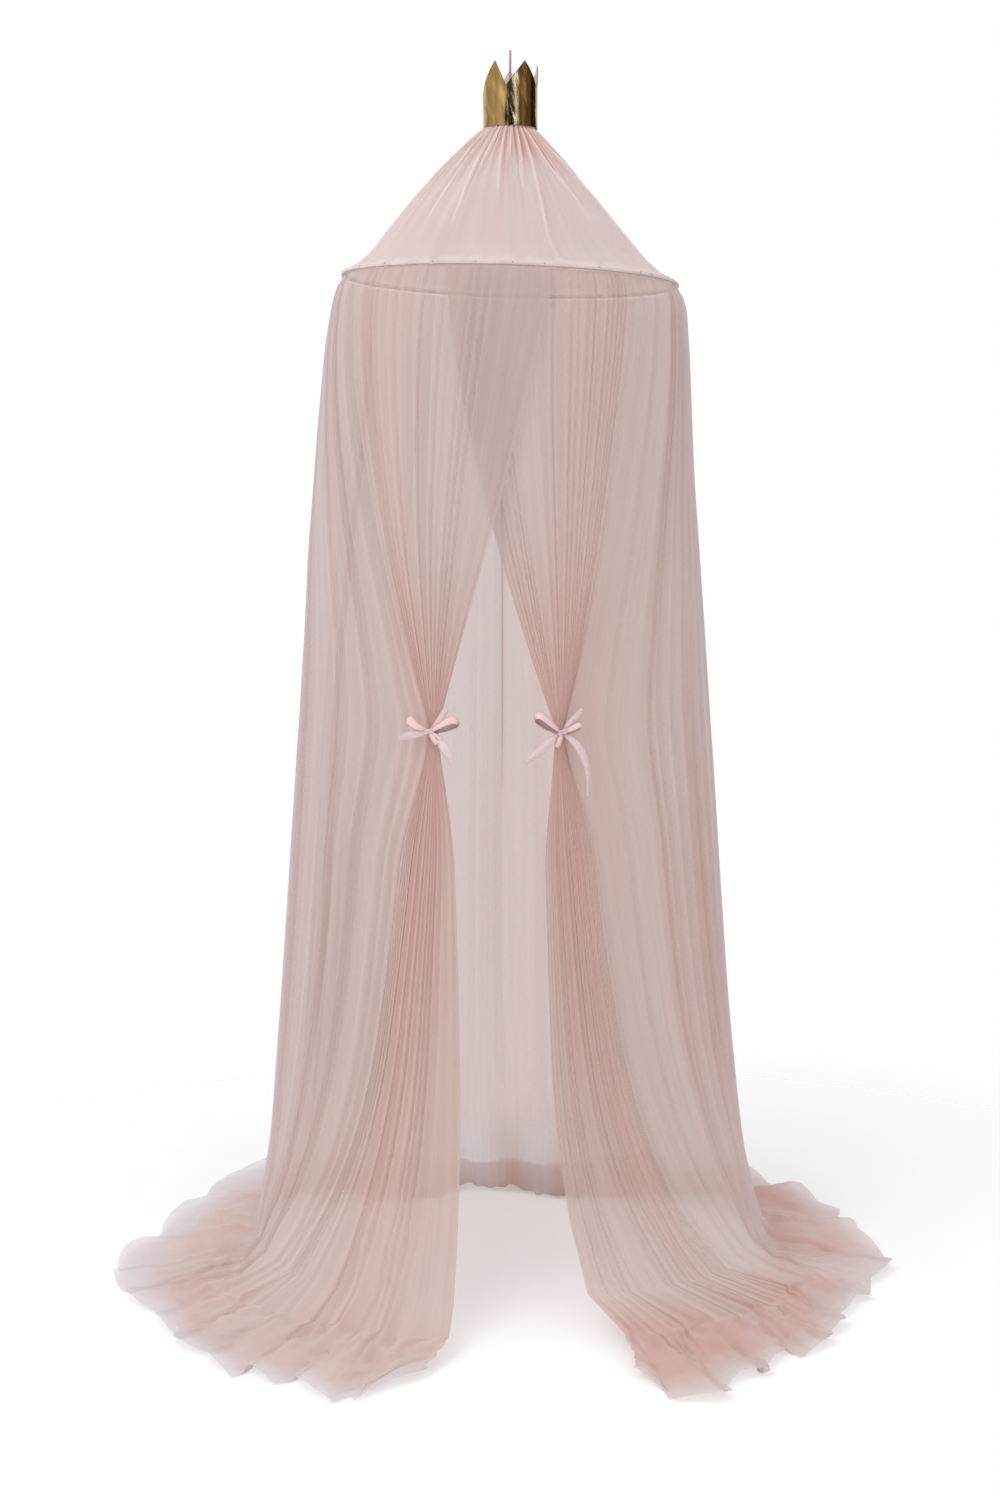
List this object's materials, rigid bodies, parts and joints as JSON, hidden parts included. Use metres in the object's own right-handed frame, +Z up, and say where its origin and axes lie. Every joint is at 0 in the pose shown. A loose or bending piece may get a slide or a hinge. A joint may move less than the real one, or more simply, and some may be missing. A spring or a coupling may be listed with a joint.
{
  "type": "mosquito net canopy with hoop",
  "caption": "Round hanging net canopy with a gilt crown, a pleated voile top and a tied-back net that trails on the floor.",
  "frame": {"origin": "the point in the hanging loop where a hook bears, 2.153 m above the floor", "axes": "+Z up along the canopy's axis, -Y towards the open front, +X to the viewer's right"},
  "size_m": [1.4081, 1.4213, 2.1539],
  "materials": {
    "net": "sheer tulle",
    "voile": "sheer voile",
    "gilt": "metallic, finely grained",
    "ribbon": "satin",
    "cord": "matt",
    "hoop": "plain"
  },
  "bodies": {
    "root": {"hanging_loop": "cord", "crown": "gilt", "voile_top": "voile", "hoop": "hoop", "net": "net", "tie_left": "ribbon", "tie_right": "ribbon"}
  },
  "joints": []
}
